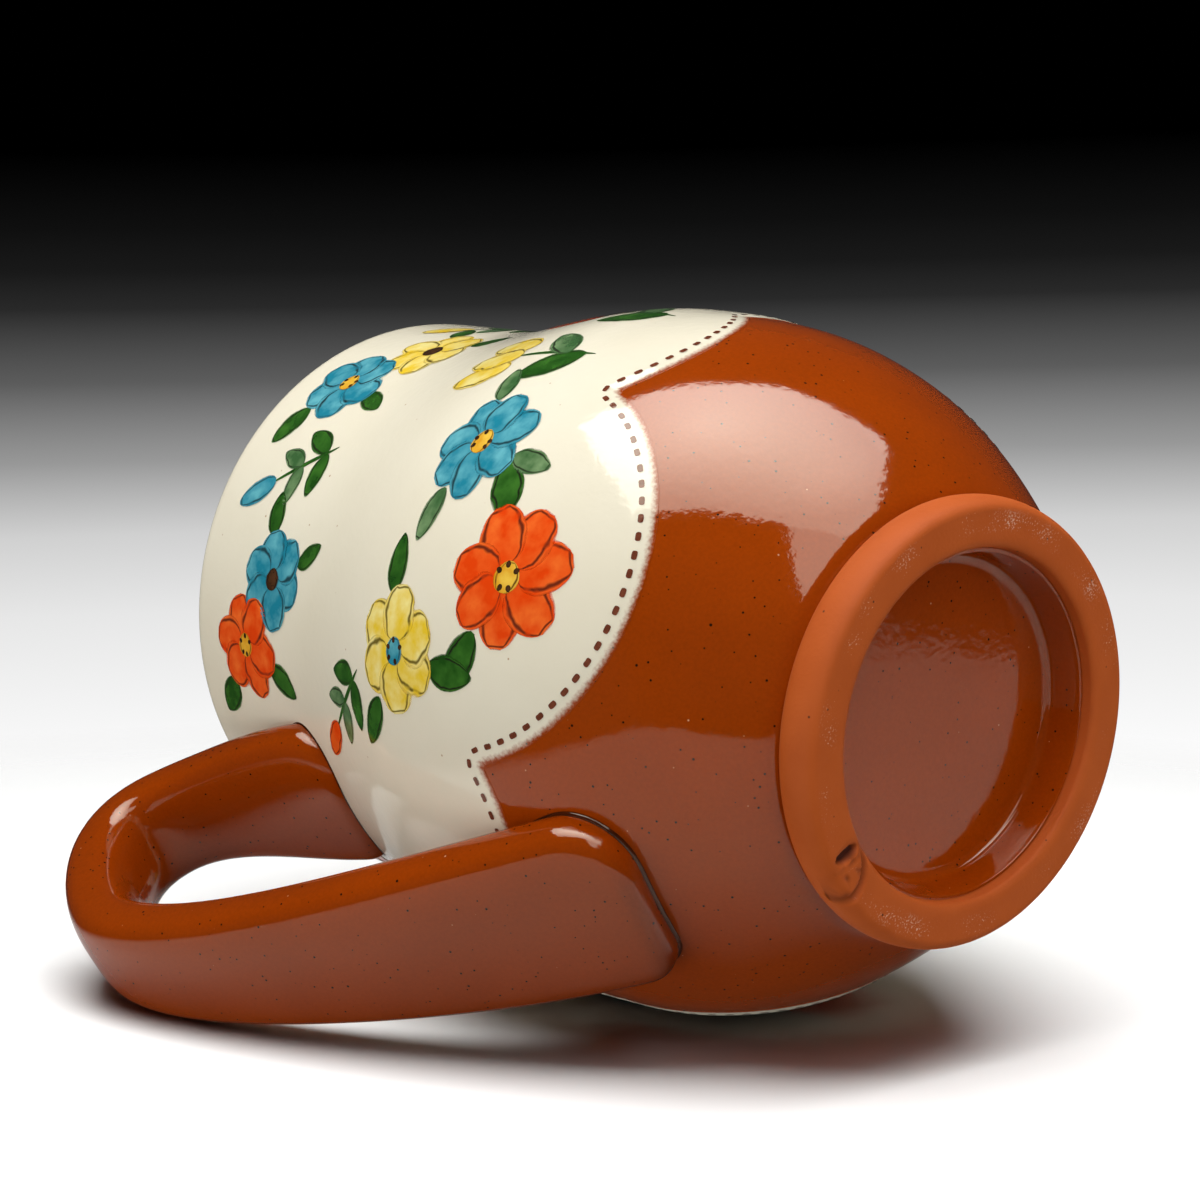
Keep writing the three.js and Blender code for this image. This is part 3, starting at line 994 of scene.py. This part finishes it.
# %% Underglaze paint
underglaze, tree, place = new_finish("brushed_underglaze_paint")
paint = add_node(tree, "Attribute", attribute_name="paint", out="Color")
thin_paint = add_node(tree, "Attribute", attribute_name="wash", out="Color")
along = add_node(tree, "Attribute", attribute_name="along", out="Fac")
across = add_node(tree, "Attribute", attribute_name="across", out="Fac")
wash_noise = noise_texture(tree, place, 2.8, 3.0)
washed = mixed(tree, ranged(tree, wash_noise, 0.36, 0.68, to_high=0.85), paint, thin_paint)
shaded = mixed(tree, ranged(tree, along, 0.5, 0.0, to_high=0.6), washed, paint)
border = maths(tree, "SUBTRACT", 1.0, maths(tree, "ABSOLUTE", across))
tip_border = maths(tree, "MULTIPLY", maths(tree, "SUBTRACT", 1.0, along), 4.0)
edge = maths(tree, "MINIMUM", border, tip_border)
shaken = maths(tree, "MULTIPLY_ADD", noise_texture(tree, place, 2.4, 1.0), 0.45, edge)
to_line = maths(tree, "ABSOLUTE", maths(tree, "SUBTRACT", shaken, 0.46))
line = ranged(tree, to_line, 0.11, 0.03)
load = ranged(tree, wash_noise, 0.25, 0.46, to_high=0.95)
outline = mixed(tree, 0.85, paint, linear("#1f1d16"))
drawn = mixed(tree, maths(tree, "MULTIPLY", line, load), shaded, outline)
soft = ranged(tree, shaken, 0.14, 0.34)
glazed(tree, drawn, place, cover=soft)
add_piece("painted_flowers", painting, underglaze, "cream_slip")

# %% [markdown]
# The studio is plain: a white table, one broad softbox overhead, light that the table throws back, and
# a dark backdrop that fades to white. The mug lies in the photograph, so here the table stands on its
# side and touches the belly and the handle. The camera sees it only at a flat angle and near the mug, so
# the other views are free of it. They get a level floor under the foot, which fades out as well. In the
# glaze the table shows as a faint veil, and it stops light that bounces up from below.

# %% Directions in the lying pose
PITCH = math.radians(5)
ROLL = math.radians(0.6)
lying_up = (
    (camera_right * math.sin(ROLL) + camera_up * math.cos(ROLL)) * math.cos(PITCH)
    - CAMERA_FORWARD * math.sin(PITCH)
).normalized()
lying_ahead = (CAMERA_FORWARD - lying_up * CAMERA_FORWARD.dot(lying_up)).normalized()
mug_middle = Vector((0, 0, RIM_HEIGHT / 2))
table_level = min(vert.co.dot(lying_up) for piece in pieces for vert in piece.data.vertices)
table_middle = mug_middle + lying_up * (table_level - mug_middle.dot(lying_up))
print("table lies", round((mug_middle - table_middle).length / MM), "mm below the mug's middle")


# %% Table and floor
def standing(middle, ahead, up):
    """A matrix that stands a thing at a place, with its Y axis ahead and its Z axis up."""
    return Matrix.Translation(middle) @ Matrix((ahead.cross(up), ahead, up)).transposed().to_4x4()


def add_stage(name, middle, ahead, up, reach, finish):
    plate = bmesh.new()
    bmesh.ops.create_grid(plate, x_segments=1, y_segments=1, size=reach)
    data = bpy.data.meshes.new(name)
    plate.to_mesh(data)
    plate.free()
    data.materials.append(finish)
    stage = bpy.data.objects.new(name, data)
    stage.matrix_world = standing(middle, ahead, up)
    bpy.context.scene.collection.objects.link(stage)
    return stage


def see_through(tree, shown, shader):
    """Finish a stage material that is clear except where the mask shows it."""
    clear = add_node(tree, "BsdfTransparent")
    partly = add_node(tree, "MixShader", {0: shown, 1: clear, 2: shader})
    add_node(tree, "OutputMaterial", {"Surface": partly})


FLAT_VIEW = 0.63
TABLE_VEIL = 0.52

white_table, tree, place = new_finish("white_table")
camera_ray = add_node(tree, "LightPath", out="Is Camera Ray")
light_path = camera_ray.node.outputs
facing = add_node(tree, "LayerWeight", {"Blend": 0.5}, out="Facing")
seen_flat = maths(tree, "MULTIPLY", maths(tree, "GREATER_THAN", facing, FLAT_VIEW), camera_ray)
faded = maths(tree, "MULTIPLY", seen_flat, ranged(tree, length_of(tree, place), 0.29, 0.16))
right = add_node(tree, "SeparateXYZ", {"Vector": place}, out="X")
ahead = right.node.outputs["Y"]
width = maths(tree, "MULTIPLY", ranged(tree, right, -0.12, -0.1), ranged(tree, right, 0.3, 0.285))
within = maths(tree, "MULTIPLY", width, ranged(tree, ahead, -0.23, -0.215))
veil = maths(tree, "MULTIPLY", within, TABLE_VEIL)
mirrored = maths(tree, "MULTIPLY", veil, light_path["Is Glossy Ray"])
depth = maths(tree, "ADD", light_path["Diffuse Depth"], light_path["Is Shadow Ray"])
blocking = maths(tree, "SUBTRACT", depth, 1.0, clamp=True)
seen = maths(tree, "ADD", maths(tree, "ADD", faded, mirrored), blocking, clamp=True)
behind = add_node(tree, "NewGeometry", out="Backfacing")
shown = maths(tree, "SUBTRACT", seen, behind, clamp=True)
see_through(tree, shown, add_node(tree, "BsdfDiffuse", {"Color": linear("#c9c9c8")}))
table = add_stage("table", table_middle, lying_ahead, lying_up, 0.6, white_table)

pale_floor, tree, place = new_finish("pale_floor")
camera_ray = add_node(tree, "LightPath", out="Is Camera Ray")
behind = add_node(tree, "NewGeometry", out="Backfacing")
faded = maths(tree, "MULTIPLY", camera_ray, ranged(tree, length_of(tree, place), 0.55, 0.2))
shown = maths(tree, "SUBTRACT", faded, behind, clamp=True)
see_through(tree, shown, add_node(tree, "BsdfDiffuse", {"Color": linear("#f0efec")}))
add_stage("floor", Vector((0, 0, 0)), Vector((0, 1, 0)), Vector((0, 0, 1)), 0.6, pale_floor)


# %% [markdown]
# Soft light from large lamps shows a glaze best. One softbox hangs over the mug, brighter in its middle as
# softboxes are, and a narrow one next to it tapers towards the camera. The table has a lamp of its own,
# so that it is white and the shadow on it is deep. The others are fills, as from white walls, which the
# glaze doesn't mirror and which leave the table out. Two of them leave the strap out as well, because its
# inside is dark. Light linking sorts out who lights what.

# %% Lamps
LAMP_HEIGHT = 0.45
LAMP_GAP = 5 * MM
lying_right = lying_ahead.cross(lying_up)


def add_softbox(name, aim, distance, size, power):
    """An area lamp that stands in a direction from the mug's middle and faces it."""
    data = bpy.data.lights.new(name, "AREA")
    data.shape = "RECTANGLE"
    data.size, data.size_y = size
    data.energy = power
    lamp = bpy.data.objects.new(name, data)
    up = aim.normalized()
    level = lying_ahead if abs(up.dot(lying_ahead)) < 0.9 else lying_up
    level = (level - up * level.dot(up)).normalized()
    lamp.matrix_world = standing(mug_middle + up * distance, level, up)
    lamp.visible_camera = False
    bpy.context.scene.collection.objects.link(lamp)
    return lamp


def hung(name, right, ahead, size, power, drop=0):
    """A level softbox over the mug. Its place and size are shares of its height, its drop is in metres."""
    lamp = add_softbox(name, lying_up, LAMP_HEIGHT - drop, [side * LAMP_HEIGHT for side in size], power)
    offset = (lying_right * right + lying_ahead * ahead) * LAMP_HEIGHT
    lamp.matrix_world = Matrix.Translation(offset) @ lamp.matrix_world
    return lamp


def lamp_tree(lamp):
    lamp.data.use_nodes = True
    lamp.data.node_tree.nodes.clear()
    return lamp.data.node_tree


def light_up(tree, strength):
    lit = add_node(tree, "Emission", {"Color": linear("#ffffff"), "Strength": strength})
    add_node(tree, "OutputLight", {"Surface": lit})


OVERHEAD = (0.01, -0.24, (1.22, 0.93))
hung("overhead_softbox", *OVERHEAD, 2.35)
core = hung("softbox_core", *OVERHEAD, 2.15, drop=LAMP_GAP)
core.visible_diffuse = False
tree = lamp_tree(core)
on_lamp = add_node(tree, "NewGeometry", out="Parametric")
away = add_node(tree, "VectorMath", {0: on_lamp, 1: (0.45, 0.6, 0)}, operation="DISTANCE", out="Value")
glow = ranged(tree, away, 0.05, 0.55, 2.4, 0.6)
light_up(tree, glow)

narrow = hung("narrow_softbox", 0.36, -1.19, (0.42, 0.97), 0.95)
tree = lamp_tree(narrow)
on_lamp = add_node(tree, "NewGeometry", out="Parametric")
off = add_node(tree, "VectorMath", {0: on_lamp, 1: (0.5, 1, 0)}, operation="SUBTRACT")
spread = add_node(tree, "VectorMath", {0: off, 1: (2, 1, 0)}, operation="MULTIPLY")
half_oval = maths(tree, "LESS_THAN", length_of(tree, spread), 1.0)
light_up(tree, half_oval)

only_table = bpy.data.collections.new("only_table")
only_table.objects.link(table)
table_light = hung("table_light", *OVERHEAD, 6.2, drop=-LAMP_GAP)
table_light.visible_glossy = False
table_light.light_linking.receiver_collection = only_table


def leaving_out(name, *left_out):
    """Receivers for a lamp that lights everything but these things."""
    receivers = bpy.data.collections.new(name)
    for item in left_out:
        receivers.objects.link(item)
    for entry in receivers.collection_objects:
        entry.light_linking.link_state = "EXCLUDE"
    return receivers


all_but_table = leaving_out("all_but_table", table)
all_but_strap = leaving_out("all_but_table_and_strap", table, strap_handle)
for name, aim, power, receivers in (
    ("left_wall", -lying_right * 0.8 - lying_ahead * 0.5 - lying_up * 0.25, 4.8, all_but_table),
    ("front_wall", lying_up * 0.35 - lying_ahead, 2.4, all_but_table),
    ("foot_side_wall", lying_right * 0.8 - Vector((0, 0, 0.6)), 3.4, all_but_strap),
    ("table_bounce", -lying_up, 0.8, all_but_table),
    ("back_wall", lying_ahead * 0.7 - lying_up * 0.6 - lying_right * 0.4, 5, all_but_table),
    ("ceiling", Vector((0, 0, 1)) + lying_up * 0.7, 6.5, all_but_strap),
):
    fill = add_softbox(name, aim, 0.9, (0.9, 0.9), power)
    fill.visible_glossy = False
    fill.light_linking.receiver_collection = receivers
print(len(bpy.data.lights), "lamps")

# %% [markdown]
# The camera sees a backdrop that goes from white at the table to black at the top, and plain pale grey in
# every other direction. For light and for the mirror of the glaze the room is nearly dark, so that the
# lamps alone shape the mug.

# %% World
AMBIENT = 0.01
BACKDROP_ROLL = math.radians(-1.06)
DARK_ROOM = 0.02
BACKDROP = [
    (0.0, "#fcfcfc"),
    (0.25, "#e7e7e7"),
    (0.38, "#d0d0d0"),
    (0.5, "#989898"),
    (0.63, "#5c5c5c"),
    (0.75, "#292929"),
    (0.81, "#191919"),
    (0.88, "#0f0f0f"),
    (1.0, "#000000"),
]
world = bpy.data.worlds.new("studio")
world.use_nodes = True
bpy.context.scene.world = world
tree = world.node_tree
tree.nodes.clear()
backdrop_up = (
    camera_right * math.sin(BACKDROP_ROLL) + camera_up * math.cos(BACKDROP_ROLL)
) * math.cos(PITCH) - CAMERA_FORWARD * math.sin(PITCH)
ray = add_node(tree, "TexCoord", out="Generated")
rise = add_node(tree, "VectorMath", {0: ray, 1: backdrop_up}, operation="DOT_PRODUCT", out="Value")
height = ranged(tree, rise, -0.152, 0.106)
backdrop = add_node(tree, "ValToRGB", {"Fac": height})
ramp = backdrop.node.color_ramp
while len(ramp.elements) < len(BACKDROP):
    ramp.elements.new(1.0)
for element, (position, code) in zip(ramp.elements, BACKDROP):
    element.position = position
    element.color = linear(code)
ahead = add_node(tree, "VectorMath", {0: ray, 1: lying_ahead}, operation="DOT_PRODUCT", out="Value")
near_view = ranged(tree, ahead, 0.6, 0.85)
seen_colour = mixed(tree, near_view, linear("#f2f2f0"), backdrop)
seen_world = add_node(tree, "Background", {"Color": seen_colour, "Strength": 1.0})
ambient = add_node(tree, "Background", {"Color": linear("#ffffff"), "Strength": AMBIENT})
dark_room = add_node(tree, "Background", {"Color": linear("#ffffff"), "Strength": DARK_ROOM})
camera_ray = add_node(tree, "LightPath", out="Is Camera Ray")
glossy_ray = camera_ray.node.outputs["Is Glossy Ray"]
unseen = add_node(tree, "MixShader", {0: glossy_ray, 1: ambient, 2: dark_room})
sky = add_node(tree, "MixShader", {0: camera_ray, 1: unseen, 2: seen_world})
add_node(tree, "OutputWorld", {"Surface": sky})
bpy.context.scene.view_settings.view_transform = "Standard"
